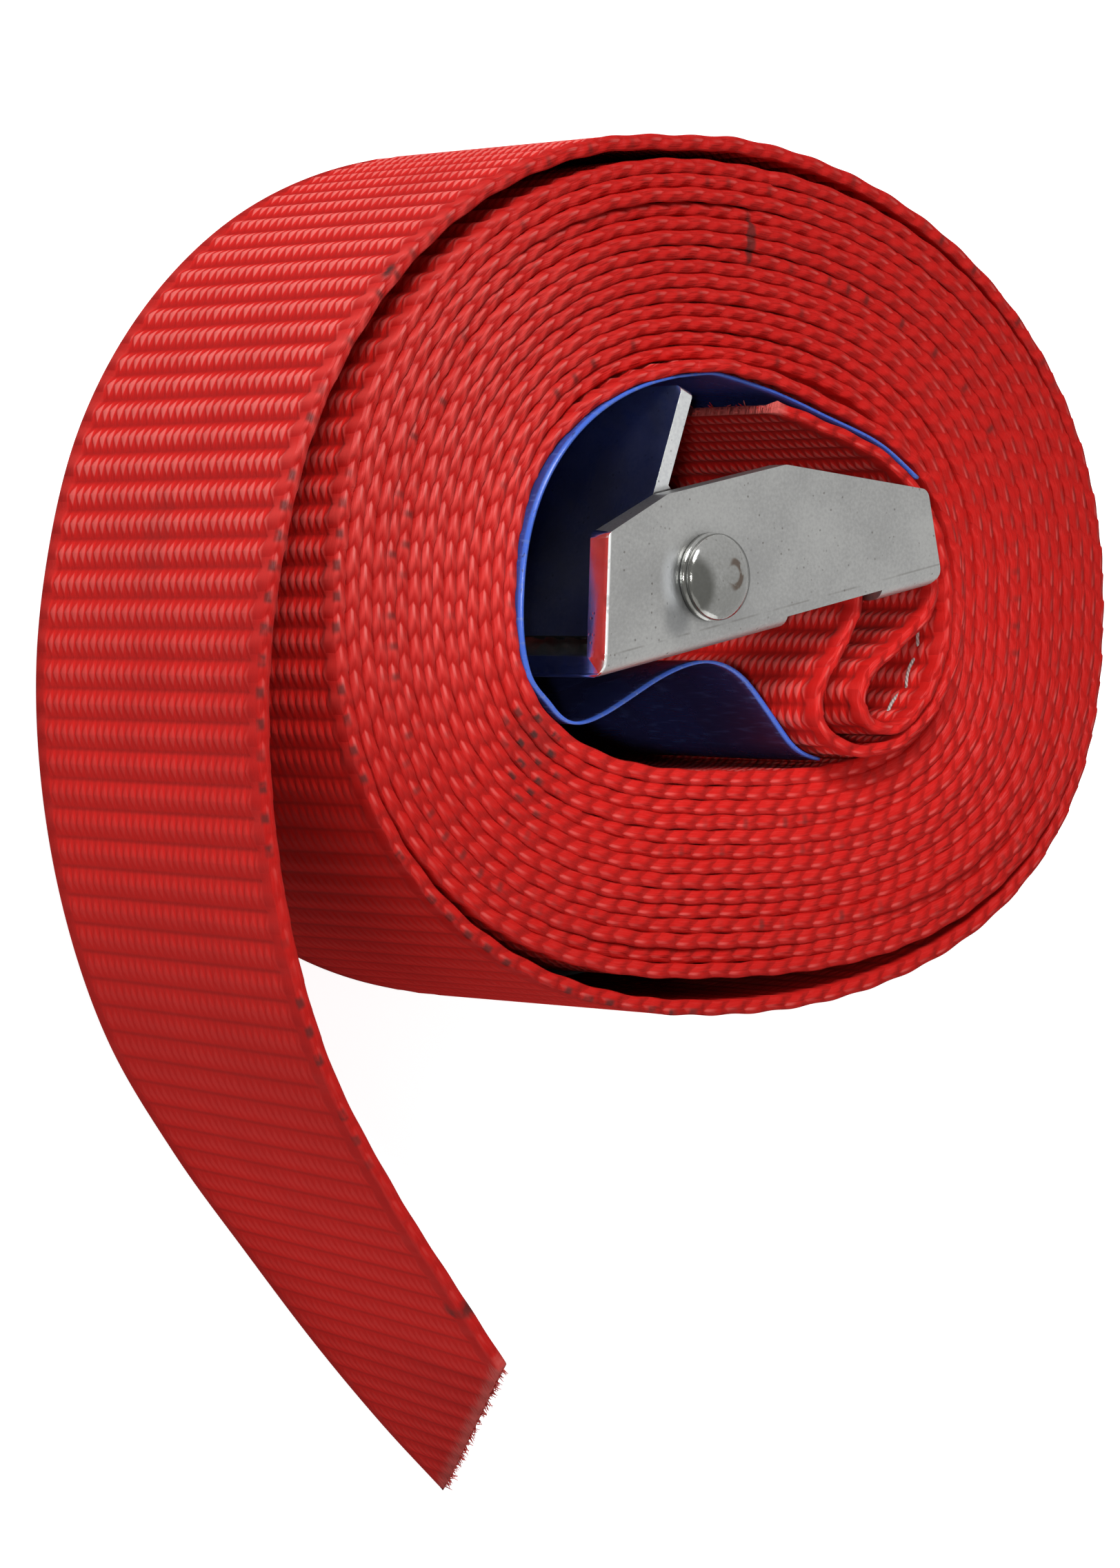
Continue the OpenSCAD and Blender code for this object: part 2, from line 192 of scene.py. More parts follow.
# Webbing: one woven polyester strap, 25 mm wide. It starts at the sewn end, goes round the frame's
# rear bar, winds outwards round the buckle and ends in a loose lap and a tail cut on the slant.
# The weave has ribs across the strap, staggered on its two faces, and rope-like edges.
STRAP_W = 25.0
RIB = 2.05
LAPS = 15
WIND_START = 95.0
WIND_END = 90.0 + 360.0 * LAPS
DESCENT_END = 155.0
LOOP_Z = 2.55
TAIL_CUT = 21.0
TAIL_TIP_W = 0.6
SEWN_TURN = 60.0
LOOSE_TURN = 370.0
PATH_STEP = 0.1
STRAP_BLUR = 0.7
FINE_ROW = RIB / 8
WOUND_ROW = RIB / 5
UNEVEN = 0.12
TAIL_LEAN = 6.5
LEAN_FROM, LEAN_OVER = 95, 80
roll_centre = np.array([-0.5, -1.2])
reach_first = np.array([23.46, 15.95, 18.96, 12.11])
reach_step = np.array([1.243, 1.004, 1.079, 1.054])
corner_first = np.array([2.3, 2.2, 2.65, 3.3])
corner_last = np.array([2.1, 2.1, 2.3, 2.5])
LOOSE_BOTTOM = 1.65
LOOSE_BOTTOM_AT = 280.0
LOOSE_TOP = 0.85
loop_route = [
    (3, 12.3), (8, 11.1), (13.5, 9.5), (17.5, 7.2), (20.4, 3.6), (21.6, -0.8), (21.1, -5),
    (19, -8.6), (16.2, -10.4), (13.6, -10.2), (12.2, -8.4), (13.2, -6.3), (16.4, -4.1), (19, -2.1),
    (19.9, -0.4), (19.5, 1.3), (18.2, 2.3), (15.3, 1.8), (12.7, 1.1), (11.8, -0.3), (11.7, -1.9),
    (10.6, -4), (9, -6.2), (7.9, -8.4), (8.4, -10.2), (10.3, -11.6), (13.4, -12.1), (16.8, -11.4),
    (20, -9.3), (22.2, -6.2), (23, -2.4), (22.6, 1.8), (21, 5.6), (18.2, 8.6), (14.2, 10.9),
    (9, 12.6), (3.5, 14.2)]
tail_route = [
    (-12.5, 29.6), (-23.4, 25.3), (-32, 18.2), (-37.9, 9), (-40.7, -2), (-40.9, -12), (-38.8, -22.6),
    (-34.6, -32.5), (-28.4, -40.9), (-21.6, -48.4), (-14.8, -55.6), (-8.2, -62), (-2.2, -67.3)]


def through_points(route, steps):
    points = np.array(route, float)
    points = np.vstack([2 * points[0] - points[1], points, 2 * points[-1] - points[-2]])
    t = np.linspace(0, 1, steps, endpoint=False)[:, None]
    spans = [0.5 * (2 * b + (c - a) * t + (2 * a - 5 * b + 4 * c - d) * t**2
                    + (3 * b - a - 3 * c + d) * t**3)
             for a, b, c, d in zip(points, points[1:], points[2:], points[3:])]
    return np.vstack(spans + [points[-2:-1]])


def lap_points(angle, inward=0.0):
    turns = angle / 360
    quarter = np.floor(angle % 360 / 90).astype(int)
    sideways = np.where((quarter == 0) | (quarter == 3), 0, 2)
    upright = np.where(quarter < 2, 1, 3)
    a = reach_first[sideways] + turns * reach_step[sideways]
    b = reach_first[upright] + turns * reach_step[upright]
    e = corner_first[quarter] + (corner_last[quarter] - corner_first[quarter]) * turns / LAPS
    way = np.radians(angle)
    radius = ((np.abs(np.cos(way)) / a) ** e + (np.abs(np.sin(way)) / b) ** e) ** (-1 / e)
    low = angle - (LOOSE_BOTTOM_AT + 360 * (LAPS - 1))
    high = angle - 360 * LAPS
    radius += np.where(np.abs(low) < 90, LOOSE_BOTTOM * np.cos(np.radians(low)) ** 2, 0)
    radius += np.where(high > 0, LOOSE_TOP * np.sin(np.radians(high)) ** 2, 0)
    return roll_centre + (radius - inward)[:, None] * np.stack([np.cos(way), np.sin(way)], 1)


def lengths_along(path):
    return np.r_[0, np.cumsum(np.linalg.norm(np.diff(path, axis=0), axis=1))]


def places_at(at, s, path):
    return np.stack([np.interp(at, s, path[:, k]) for k in range(path.shape[1])], 1)


def even_path(path, step, blur):
    s = lengths_along(path)
    steps = np.arange(0, s[-1], step)
    path = places_at(steps, s, path)
    half = int(3 * blur / step)
    weight = np.exp(-0.5 * (np.arange(-half, half + 1) * step / blur) ** 2)
    weight /= weight.sum()
    grown = np.vstack([2 * path[0] - path[half:0:-1], path, 2 * path[-1] - path[-2:-half - 2:-1]])
    smooth = np.stack([np.convolve(grown[:, k], weight, "valid") for k in (0, 1)], 1)
    return smooth, steps / s[-1]


def out_of(path):
    heading = np.gradient(path, axis=0)
    heading /= np.linalg.norm(heading, axis=1)[:, None]
    return heading, np.stack([heading[:, 1], -heading[:, 0]], 1)


wind_angles = np.arange(WIND_START, WIND_END, 1.0)
wound = lap_points(wind_angles)
sewn = through_points(loop_route + [tuple(wound[0])], 20)[:-1]
tail = through_points([tuple(wound[-1])] + tail_route, 40)[1:]
rough_path = np.vstack([sewn, wound, tail])
rough_angle = np.r_[np.full(len(sewn), WIND_START), wind_angles, np.full(len(tail), WIND_END)]
rough_s = lengths_along(rough_path)
strap_path, strap_share = even_path(rough_path, PATH_STEP, STRAP_BLUR)
strap_angle = np.interp(strap_share * rough_s[-1], rough_s, rough_angle)
strap_s = lengths_along(strap_path)
strap_len = strap_s[-1]
close_s = strap_s[np.searchsorted(strap_angle, WIND_START + SEWN_TURN)]
open_s = strap_s[np.searchsorted(strap_angle, WIND_END - LOOSE_TURN)]
cut_s = strap_len - TAIL_CUT
rows_s = np.r_[np.arange(0, close_s, FINE_ROW), np.arange(close_s, open_s, WOUND_ROW),
               np.arange(open_s, strap_len, FINE_ROW), strap_len]
row_mid = places_at(rows_s, strap_s, strap_path)
row_heading, row_out = out_of(row_mid)
row_angle = np.interp(rows_s, strap_s, strap_angle)
uneven = UNEVEN * (2 + np.sin(rows_s / 23.0) + np.sin(rows_s / 9.1 + 1.7)) * (rows_s < open_s)
descent = np.clip((row_angle - WIND_START) / (DESCENT_END - WIND_START), 0, 1)
row_low = LOOP_Z * (1 - descent) + uneven
row_width = STRAP_W - (STRAP_W - TAIL_TIP_W) * np.clip((rows_s - cut_s) / TAIL_CUT, 0, 1)
row_lean = np.radians(TAIL_LEAN) * np.clip((rows_s - strap_len + LEAN_FROM) / LEAN_OVER, 0, 1) ** 1.5

LOOSE_HALF = 0.54
SEWN_HALF = 0.45
MEASURED_LAP = 5
CREST_POWER = 1.3
RIB_DEPTH = 0.7
TAIL_RIB_LOSS = 0.5
PULLED_RIB_LOSS = 0.7
PULLED_FLAT_BACK = (274.0, 80.0)
EDGE_BULGE = 0.05
EDGE_NOTCH = 0.15
LOW_EDGE_NOTCH = 0.12
LOW_SHOULDER, SHOULDER = 0.85, 0.72
CUT_SPREAD = 0.02
inner_lap = row_angle % 360 + 360 * MEASURED_LAP
lap_pitch = np.linalg.norm(lap_points(inner_lap + 360) - lap_points(inner_lap), axis=1)
row_half = np.where(rows_s < open_s, 0.5 * lap_pitch, LOOSE_HALF)
row_half = np.where(rows_s < close_s, SEWN_HALF, row_half)
rib_turn = np.pi * rows_s / RIB
from_crest = 2 * np.abs((rows_s / RIB + 0.5) % 1 - 0.5)
crest_out = 1 - from_crest ** CREST_POWER
crest_in = 1 - (1 - from_crest) ** CREST_POWER
flat_from, flat_to = (np.interp(WIND_END - back, strap_angle, strap_s) for back in PULLED_FLAT_BACK)
pulled_flat = np.interp(rows_s, [flat_from, flat_from + 15, flat_to - 20, flat_to], [0, 1, 1, 0])
tail_worn = np.clip((rows_s - strap_len + 85) / 40, 0, 1)
rib_depth = (RIB_DEPTH - TAIL_RIB_LOSS * tail_worn) * (1 - PULLED_RIB_LOSS * pulled_flat)
face_out = row_half * (1 - rib_depth * (1 - crest_out))
face_in = -row_half * (1 - rib_depth * (1 - crest_in))
rope = np.interp(rows_s, [strap_len - 100, strap_len - 60], [1.0, 0.4])
bulge = EDGE_BULGE * rope * np.sin(rib_turn)
ring_across = np.array([0, 0.4, 1.4, 23.5, 24.7, 24.95, 25, 24.95, 24.7, 23.5, 1.4, 0.4, 0])
ring_side = np.array([0, 1, 1, 1, 1, SHOULDER, 0, -SHOULDER, -1, -1, -1, -1, 0])
RING = len(ring_across) - 1
still = np.zeros_like(bulge)
ring_offset = np.stack([still, LOW_SHOULDER * row_half, face_out, face_out, row_half + bulge,
                        SHOULDER * row_half + bulge, bulge, bulge - SHOULDER * row_half, bulge - row_half,
                        face_in, face_in, -LOW_SHOULDER * row_half, still], 1)
plain = np.ones_like(still)
ring_crest = np.stack([plain, plain, crest_out, crest_out, plain, plain, plain, plain, plain,
                       crest_in, crest_in, plain, plain], 1)
across = np.repeat(ring_across[None], len(rows_s), 0)
across[:, [5, 6, 7]] -= (EDGE_NOTCH * rope * (1 - rows_s / RIB % 1))[:, None]
across[:, [0, 12]] += LOW_EDGE_NOTCH * crest_in[:, None]
from_edge = np.minimum(ring_across, STRAP_W - ring_across)
across = np.minimum(across, row_width[:, None] - CUT_SPREAD * from_edge[None])


def grid_mesh(name, rows, columns):
    """A flat mesh of rows by columns of faces, with the row and the column of each vertex."""
    mesh = bpy.data.meshes.new(name)
    shape = bmesh.new()
    bmesh.ops.create_grid(shape, x_segments=rows, y_segments=columns, size=1.0, calc_uvs=False)
    shape.to_mesh(mesh)
    shape.free()
    flat = np.zeros(len(mesh.vertices) * 3, np.float32)
    mesh.vertices.foreach_get("co", flat)
    flat = flat.reshape(-1, 3).astype(float)
    row = np.rint((flat[:, 0] + 1) / 2 * rows).astype(int)
    column = np.rint((flat[:, 1] + 1) / 2 * columns).astype(int)
    return mesh, row, column


def lay_grid(mesh, places, uv_name, uv_of_vertex):
    mesh.vertices.foreach_set("co", (places * MM).astype(np.float32).ravel())
    corner = np.zeros(len(mesh.loops), np.int32)
    mesh.loops.foreach_get("vertex_index", corner)
    layer = mesh.uv_layers.new(name=uv_name)
    layer.data.foreach_set("uv", uv_of_vertex[corner].astype(np.float32).ravel())


def smooth_faces(mesh):
    mesh.polygons.foreach_set("use_smooth", np.ones(len(mesh.polygons), bool))
    mesh.update()


def keep_shape(shape, mesh):
    shape.to_mesh(mesh)
    shape.free()
    smooth_faces(mesh)


def place_piece(name, mesh, material, body):
    piece = bpy.data.objects.new(name, mesh)
    bpy.context.scene.collection.objects.link(piece)
    mesh.materials.clear()
    mesh.materials.append(material)
    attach(piece, body)
    return piece


face_mm = np.array(face_zero) / MM
webbing_mesh, row, column = grid_mesh("webbing_strap", len(rows_s) - 1, RING)
offset = ring_offset[row, column] + across[row, column] * np.tan(row_lean[row])
spot = row_mid[row] + row_out[row] * offset[:, None] + face_mm
height = row_low[row] + across[row, column]
lay_grid(webbing_mesh, np.column_stack([spot, height]), "weave",
         np.column_stack([rows_s[row], across[row, column]]))
for name, values in (("crest", ring_crest[row, column]), ("side", ring_side[column])):
    layer = webbing_mesh.attributes.new(name, "FLOAT", "POINT")
    layer.data.foreach_set("value", values.astype(np.float32))
shape = bmesh.new()
shape.from_mesh(webbing_mesh)
rim = [v for v in shape.verts if v.is_boundary]
bmesh.ops.remove_doubles(shape, verts=rim, dist=1e-7)
bmesh.ops.holes_fill(shape, edges=[e for e in shape.edges if e.is_boundary], sides=0)
bmesh.ops.recalc_face_normals(shape, faces=shape.faces)
keep_shape(shape, webbing_mesh)


def mix_colour(tree, factor, a, b):
    return add_node(tree, "ShaderNodeMix", {0: factor, 6: a, 7: b}, data_type="RGBA").outputs[2]


def noise(tree, at, scale, detail=3.0):
    moved = add_node(tree, "ShaderNodeMapping", {"Vector": at, "Scale": scale}).outputs[0]
    return add_node(tree, "ShaderNodeTexNoise", {"Vector": moved, "Scale": 1.0, "Detail": detail}).outputs[0]


def product(tree, *values):
    result = values[0]
    for value in values[1:]:
        result = maths(tree, "MULTIPLY", result, value)
    return result


def fade(tree, value, low, high):
    return ramp(tree, value, low, high, 1.0, 0.0)


def gap(tree, a, b):
    return maths(tree, "ABSOLUTE", maths(tree, "SUBTRACT", a, b))


def bump(tree, heights, strength, depth):
    """A normal that follows heights whose full range stands for a depth in mm."""
    made = add_node(tree, "ShaderNodeBump", {"Height": heights, "Strength": strength, "Distance": depth * MM})
    return made.outputs[0]


YARN = 0.8
RED = (0.62, 0.013, 0.010, 1.0)
RED_DEEP = (0.36, 0.007, 0.006, 1.0)
RED_LIGHT = (0.76, 0.085, 0.073, 1.0)
SOIL = (0.045, 0.018, 0.016, 1.0)
RED_VALLEY_SHADE = (0.44, 0.010, 0.008, 1.0)
RED_DULL = (0.40, 0.008, 0.007, 1.0)
RAW_FIBRE = (0.60, 0.11, 0.095, 1.0)
PAINTED_SHEEN = (0.82, 0.19, 0.17, 1.0)
soil_marks = [((2.5, 24.5, 25.0), (0.5, 2.2, 2.0), 0.75), ((-31.8, 20.1, 25.0), (1.3, 1.1, 1.4), 0.95),
              ((-17.5, -11.2, 25.0), (2.4, 2.6, 1.0), 0.25), ((-22.3, -50.2, 24.2), (1.6, 0.9, 1.6), 0.8),
              ((-41.0, 2.0, 12.0), (3.0, 5.0, 1.8), 0.15)]
webbing_cloth, tree = new_material("woven_polyester")
weave = add_node(tree, "ShaderNodeUVMap", uv_map="weave").outputs[0]
parts = add_node(tree, "ShaderNodeSeparateXYZ", {0: weave})
along, over = parts.outputs[0], parts.outputs[1]
crest = add_node(tree, "ShaderNodeAttribute", attribute_name="crest").outputs["Fac"]
side = add_node(tree, "ShaderNodeAttribute", attribute_name="side").outputs["Fac"]
edge_near = gap(tree, over, STRAP_W / 2)
selvedge = ramp(tree, edge_near, 10.9, 11.3)
plain_face = maths(tree, "SUBTRACT", 1.0, selvedge)

waver = noise(tree, weave, (0.35, 0.9, 1.0))
waver = product(tree, maths(tree, "SUBTRACT", waver, 0.5), 0.25)
yarn = maths(tree, "FRACT", maths(tree, "DIVIDE", maths(tree, "ADD", over, waver), YARN))
from_middle = product(tree, gap(tree, yarn, 0.5), 2.0)
plump = maths(tree, "MULTIPLY_ADD", crest, 0.52, 0.5)
past_yarn = maths(tree, "SUBTRACT", from_middle, plump)
yarn_gap_shade = product(tree, ramp(tree, past_yarn, -0.22, 0.12), plain_face)
share_out = maths(tree, "DIVIDE", from_middle, plump)
round_yarn = maths(tree, "SUBTRACT", 1.0, maths(tree, "POWER", share_out, 2.0), clamp=True)

rib_at = maths(tree, "DIVIDE", along, RIB)


def past_start(ribs, lean):
    """Ribs from the pointed start of the edge float that a point lies on, for every other float."""
    late = product(tree, gap(tree, side, lean), 0.36)
    since = maths(tree, "SUBTRACT", maths(tree, "SUBTRACT", rib_at, ribs), late)
    return product(tree, maths(tree, "FRACT", product(tree, since, 0.5)), 2.0)


even_float, odd_float = past_start(0.0, 0.4), past_start(1.0, 0.1)
past = maths(tree, "MINIMUM", even_float, odd_float)
until_next = maths(tree, "SUBTRACT", 2.0, maths(tree, "MAXIMUM", even_float, odd_float))
edge_float = product(tree, ramp(tree, until_next, 0.0, 0.6), ramp(tree, past, -0.2, 0.9))
wound_tight = ramp(tree, along, strap_len - 100, strap_len - 55, 1.0, 0.35)
off_middle = maths(tree, "ABSOLUTE", side)
odd_first = maths(tree, "SUBTRACT", odd_float, even_float)
# Painted highlight: thin pale wisps at the start of each edge float.
wisp_highlight = product(tree, ramp(tree, past, 0.0, 0.12), fade(tree, past, 0.25, 0.65),
               fade(tree, gap(tree, side, 0.3), 0.05, 0.32), selvedge, wound_tight,
               ramp(tree, odd_first, -0.1, 0.1, 0.55, 1.0))
# Painted shade in the pockets at the end of each edge float, under the next float's start.
float_foot_shade = product(tree, fade(tree, until_next, 0.0, 0.55),
                     ramp(tree, off_middle, 0.1, 0.7, 0.35, 1.0), selvedge, wound_tight)
shade_between_laps = product(tree, ramp(tree, off_middle, 0.7, 1.0), selvedge)

filament = noise(tree, weave, (0.9, 11.0, 1.0))
cloud = noise(tree, weave, (0.06, 0.11, 1.0), 4.0)
# How strongly the ribs carry painted sheen and painted shade: less on the inner laps and towards the tail,
# and least on the wall that lies in shade, where the strap also lies flatter.
rib_painted_light = product(tree, ramp(tree, along, strap_len - 165, strap_len - 130, 0.55, 1.0),
                  ramp(tree, along, strap_len - 100, strap_len - 62, 1.0, 0.1))
lying_flat = product(tree, ramp(tree, along, flat_from, flat_from + 15),
                     fade(tree, along, flat_to - 20, flat_to))
rib_painted_light = product(tree, rib_painted_light, maths(tree, "MULTIPLY_ADD", lying_flat, -0.85, 1.0))
# Painted highlight: pale pink lozenges of sheen on the rib crests.
spindle_highlight = maths(tree, "MULTIPLY_ADD", from_middle, -0.9, product(tree, crest, 1.15))
spindle_highlight = ramp(tree, spindle_highlight, 0.3, 0.65)
# Painted shade: the rib valleys are darker red.
colour = mix_colour(tree, ramp(tree, crest, 0.0, 0.3), RED_VALLEY_SHADE, RED)
colour = mix_colour(tree, ramp(tree, filament, 0.42, 0.75, 0.0, 0.12), colour, RED_LIGHT)
# Painted shade in the gaps between yarns.
colour = mix_colour(tree, product(tree, yarn_gap_shade, 0.15), colour, RED_DEEP)
# More painted shade on the low parts of each rib, scaled by the painted-light share.
valley_shade = product(tree, fade(tree, crest, 0.1, 0.65), plain_face, rib_painted_light, 0.6)
colour = mix_colour(tree, valley_shade, colour, RED_DEEP)
# Painted highlight on the rib crests.
colour = mix_colour(tree, product(tree, spindle_highlight, plain_face, rib_painted_light, 0.75), colour, PAINTED_SHEEN)
round_edge = add_node(tree, "ShaderNodeCombineXYZ", {0: along, 1: side}).outputs[0]
streaks = noise(tree, round_edge, (0.7, 4.5, 1.0))
colour = mix_colour(tree, product(tree, ramp(tree, streaks, 0.45, 0.7), selvedge, 0.2), colour, RED_LIGHT)
colour = mix_colour(tree, product(tree, fade(tree, streaks, 0.3, 0.5), selvedge, 0.2), colour, RED_DEEP)
# Painted shade at the float ends, and a darker edge band.
edge_shade = maths(tree, "MULTIPLY_ADD", float_foot_shade, 0.38, product(tree, selvedge, 0.38))
colour = mix_colour(tree, edge_shade, colour, RED_DEEP)
at = object_place(tree)
# Painted highlight: on the roll's left side, where the light catches them, the edge floats are painted
# lighter and the wisps stronger.
left_side_highlight = distance_to(tree, at, (-31.0, 10.0, 25.0), (24.0, 26.0, 40.0))
left_side_highlight = fade(tree, left_side_highlight, 0.35, 1.1)
colour = mix_colour(tree, product(tree, left_side_highlight, edge_float, selvedge, wound_tight, 0.7), colour, RED_LIGHT)
wisp_highlight = product(tree, wisp_highlight, maths(tree, "MULTIPLY_ADD", left_side_highlight, 0.44, 0.36))
# Painted highlight of the wisps.
colour = mix_colour(tree, wisp_highlight, colour, PAINTED_SHEEN)
# Painted shade in the thin gaps between neighbouring laps.
colour = mix_colour(tree, product(tree, shade_between_laps, 0.15), colour, RED_DEEP)
colour = mix_colour(tree, ramp(tree, cloud, 0.38, 0.7, 0.0, 0.25), colour, RED_DULL)

rib_gap = gap(tree, maths(tree, "FRACT", rib_at), 0.5)
each_rib = add_node(tree, "ShaderNodeTexWhiteNoise", {"W": maths(tree, "FLOOR", rib_at)},
                    noise_dimensions="1D").outputs[0]
rubbed = ramp(tree, noise(tree, weave, (0.021, 0.02, 1.0), 2.0), 0.52, 0.66)
soil_dots = product(tree, fade(tree, rib_gap, 0.02, 0.2), ramp(tree, each_rib, 0.25, 0.7), rubbed,
                    ramp(tree, edge_near, 11.4, 12.0), ramp(tree, off_middle, 0.3, 1.0, 0.6, 0.1))
ragged = noise(tree, at, (900.0, 900.0, 900.0), 4.0)
by_bore = distance_to(tree, at, (-17.6, -11.6, 25.0), (3.2, 6.4, 40.0))
soiled = fade(tree, by_bore, 0.6, 1.15)
for begin, end in ((flat_from - 10, flat_from + 60), (strap_len - 100, strap_len - 35)):
    stretch = product(tree, ramp(tree, along, begin, begin + 10), fade(tree, along, end - 10, end), 0.8)
    soiled = maths(tree, "MAXIMUM", soiled, stretch)
blot = maths(tree, "MULTIPLY_ADD", maths(tree, "SUBTRACT", ragged, 0.5), 0.3, rib_gap)
pockets = product(tree, fade(tree, blot, 0.08, 0.28), ramp(tree, each_rib, 0.1, 0.4), soiled,
                  ramp(tree, edge_near, 11.9, 12.35), ramp(tree, side, -0.1, 0.5),
                  ramp(tree, ragged, 0.3, 0.5, 0.4, 0.95))
soil = maths(tree, "MAXIMUM", soil_dots, pockets)
for place, reach, depth in soil_marks:
    apart = maths(tree, "ADD", distance_to(tree, at, place, reach), maths(tree, "SUBTRACT", ragged, 0.5))
    soil = maths(tree, "MAXIMUM", soil, ramp(tree, apart, 0.5, 1.1, depth, 0.0))
colour = mix_colour(tree, soil, colour, SOIL)

CUT_SLOPE = (STRAP_W - TAIL_TIP_W) / TAIL_CUT
beyond = maths(tree, "MULTIPLY_ADD", along, CUT_SLOPE, over)
from_cut = maths(tree, "SUBTRACT", STRAP_W + CUT_SLOPE * cut_s, beyond)
from_cut = maths(tree, "DIVIDE", from_cut, math.hypot(1, CUT_SLOPE))
fray_noise = noise(tree, weave, (0.8, 6.0, 1.0), 4.0)
fray_noise = product(tree, maths(tree, "SUBTRACT", fray_noise, 0.5), 2.2)
from_end = maths(tree, "ADD", maths(tree, "MINIMUM", from_cut, along), fray_noise)
frayed = ramp(tree, from_end, 0.1, 1.0, 0.85, 0.0)
colour = mix_colour(tree, frayed, colour, RAW_FIBRE)

face_relief = product(tree, round_yarn, plain_face, maths(tree, "MULTIPLY_ADD", crest, 0.7, 0.1))
edge_relief = maths(tree, "MULTIPLY_ADD", edge_float, 1.5, product(tree, streaks, 0.5))
edge_relief = product(tree, edge_relief, selvedge, wound_tight)
fibre_relief = maths(tree, "MULTIPLY_ADD", filament, 0.3, product(tree, fray_noise, frayed))
heights = maths(tree, "ADD", maths(tree, "ADD", face_relief, edge_relief), fibre_relief)
relief = bump(tree, heights, 1.0, 0.13)
cloth = add_node(tree, "ShaderNodeBsdfPrincipled",
                 {"Base Color": colour, "Roughness": ramp(tree, soil, 0.0, 0.6, 0.27, 0.7),
                  "Normal": relief, "Specular IOR Level": 0.0,
                  "Sheen Weight": 0.02, "Sheen Roughness": 0.4, "Sheen Tint": (1.0, 0.75, 0.72, 1.0)})
lustre = add_node(tree, "ShaderNodeBsdfGlossy", {"Roughness": 0.42, "Normal": relief})
lustrous = add_node(tree, "ShaderNodeMixShader", {"Fac": 0.012, 1: cloth.outputs[0], 2: lustre.outputs[0]})
add_node(tree, "ShaderNodeOutputMaterial", {"Surface": lustrous.outputs[0]})

webbing = place_piece("webbing_strap", webbing_mesh, webbing_cloth, "strap")
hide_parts("webbing")


# Cut fibres: loose ends of the yarns at the slanted cut of the tail and at the cut of the sewn end. They
# stand out of the weave by less than a millimetre, each in its own direction.
TAIL_FIBRES = 150
SEWN_FIBRES = 90
FIBRE_R, FIBRE_TIP_R = 0.055, 0.02
FIBRE_SUNK = 0.2
chance = random.Random(7)
fibre_mesh = bpy.data.meshes.new("cut_fibres")
shape = bmesh.new()


def add_fibre(s, over, low, forward):
    """A thin tapered fibre that stands out of a cut end, at a length and a place across the strap."""
    i = int(np.clip(np.searchsorted(rows_s, s), 0, len(rows_s) - 1))
    side_step = over * math.tan(row_lean[i]) + chance.uniform(-0.32, 0.32)
    root = row_mid[i] + row_out[i] * side_step + face_mm
    ahead = row_heading[i] * forward * chance.uniform(0.5, 1.0) + row_out[i] * chance.uniform(-0.5, 0.5)
    way = Vector((*ahead, chance.uniform(-0.25, 0.6))).normalized()
    length = chance.uniform(0.3, 0.65)
    middle = (Vector((*root, low + over)) + way * (length / 2 - FIBRE_SUNK)) * MM
    pose = Matrix.Translation(middle) @ way.to_track_quat("Z", "Y").to_matrix().to_4x4()
    bmesh.ops.create_cone(shape, cap_ends=True, segments=5, radius1=FIBRE_R * MM,
                          radius2=FIBRE_TIP_R * MM, depth=length * MM, matrix=pose)


for _ in range(TAIL_FIBRES):
    along_cut = chance.random()
    add_fibre(cut_s + TAIL_CUT * along_cut, STRAP_W + (TAIL_TIP_W - STRAP_W) * along_cut, 0.0, 1.0)
for _ in range(SEWN_FIBRES):
    add_fibre(0.0, chance.uniform(0.5, STRAP_W - 0.3), LOOP_Z, -1.0)
keep_shape(shape, fibre_mesh)
fibre_paint, tree = new_material("cut_fibre")
at = object_place(tree)
tuft = noise(tree, at, (1500.0, 1500.0, 1500.0))
colour = mix_colour(tree, ramp(tree, tuft, 0.35, 0.65), RED, RAW_FIBRE)
fibre_relief = bump(tree, tuft, 0.3, 0.03)
raw_yarn = add_node(tree, "ShaderNodeBsdfPrincipled",
                    {"Base Color": colour, "Roughness": ramp(tree, tuft, 0.3, 0.7, 0.35, 0.6),
                     "Normal": fibre_relief, "Specular IOR Level": 0.2})
add_node(tree, "ShaderNodeOutputMaterial", {"Surface": raw_yarn.outputs[0]})
place_piece("cut_fibres", fibre_mesh, fibre_paint, "strap")


# Label: a strip of blue film, sewn in with the sewn end. It comes away from the seam, lies against the
# inner lap and then crosses the bore in a loose wave below the buckle. It carries no print.
LABEL_W = 24.4
LABEL_T = 0.2
LABEL_GAP = 0.6
LABEL_RISE = 0.9
LABEL_DROP = 3.1
LABEL_EASE = 1.5
LABEL_BLUR = 0.6
LABEL_ROW = 0.4
LABEL_RIPPLE = 0.12
HUG_END = 201.0
FREE_FROM, FREE_OVER = 52, 20
label_seam_route = [(17.7, 7.85), (13.8, 10.2), (8.6, 11.85), (3.3, 13.4)]
label_wave_route = [
    (-16.4, -8.95), (-15.5, -9.8), (-14.4, -10.3), (-13.1, -10.3), (-11.3, -9.75), (-9.3, -8.85),
    (-7.2, -7.85), (-5.1, -6.95), (-2.6, -6.2), (-0.3, -5.95), (1.9, -6.4), (3.7, -7.4), (6.3, -9.7),
    (8.8, -12), (11.5, -12.85)]
hug_angles = np.arange(WIND_START, HUG_END, 5.0)
hug_route = [tuple(p) for p in lap_points(hug_angles, LABEL_GAP)]
label_route = label_seam_route + hug_route + label_wave_route
label_path, _ = even_path(through_points(label_route, 12), PATH_STEP, LABEL_BLUR)
label_s = lengths_along(label_path)
label_rows = np.arange(0, label_s[-1], LABEL_ROW)
label_mid = places_at(label_rows, label_s, label_path)
_, label_out = out_of(label_mid)
